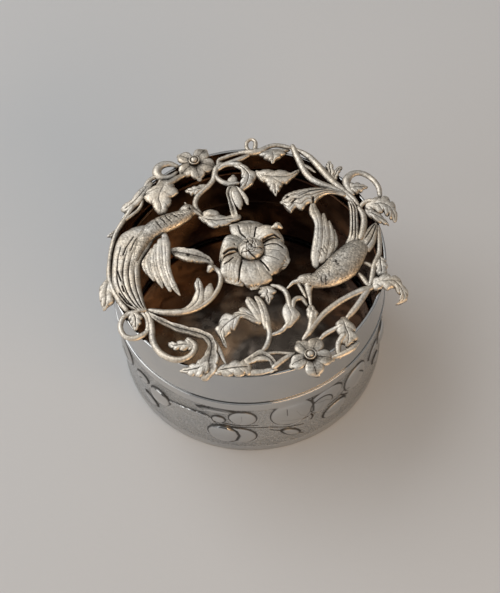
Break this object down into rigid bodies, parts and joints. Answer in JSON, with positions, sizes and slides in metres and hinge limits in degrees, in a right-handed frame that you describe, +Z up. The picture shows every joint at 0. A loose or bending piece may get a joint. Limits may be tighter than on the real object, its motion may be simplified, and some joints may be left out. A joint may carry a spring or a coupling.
{
  "type": "potpourri box",
  "caption": "Round silver box with chased flowers round its wall and a pull-off lid pierced in cast birds, flowers and scrolling leaves, to hold potpourri.",
  "frame": {"origin": "middle of the underside, on the surface the box stands on", "axes": "+Z up; +Y from the long acanthus leaf at the front towards the back; +X to the right seen from that front"},
  "size_m": [0.0871, 0.0847, 0.0483],
  "materials": {
    "silver": "polished silver, darkened in its recesses, with a worn gilt wash inside"
  },
  "bodies": {
    "body": {"body_wall": "silver", "body_floor": "silver", "body_bezel": "silver"},
    "lid": {"lid_band": "silver", "flower_heart": "silver", "flower_petals": "silver", "bird_right_wing": "silver", "bird_left_wing": "silver", "bird_left": "silver", "bird_right": "silver", "bird_left_tail": "silver", "bird_right_tail": "silver", "floret_front": "silver", "floret_back": "silver", "branch_left": "silver", "acanthus_right": "silver", "leaf_front_left": "silver", "leaf_right_upper": "silver", "leaf_right_lower": "silver", "leaf_left_back": "silver", "leaf_back": "silver", "tulip_front": "silver", "bud_front": "silver", "leaf_by_wing": "silver", "leaf_under_flower": "silver", "leaf_front_right": "silver", "scroll_inner_left": "silver", "scroll_back": "silver", "curl_right_back": "silver", "leaves_front": "silver", "vine_back": "silver", "stems_back_right": "silver", "stems_front_right": "silver", "vine_right": "silver", "scroll_front_left": "silver", "loop_back_left": "silver", "vine_left": "silver"}
  },
  "joints": [
    {"name": "lid_lift", "type": "slide", "parent": "body", "child": "lid", "axis": [0, 0, 1], "range_m": [0, 0.04]}
  ]
}
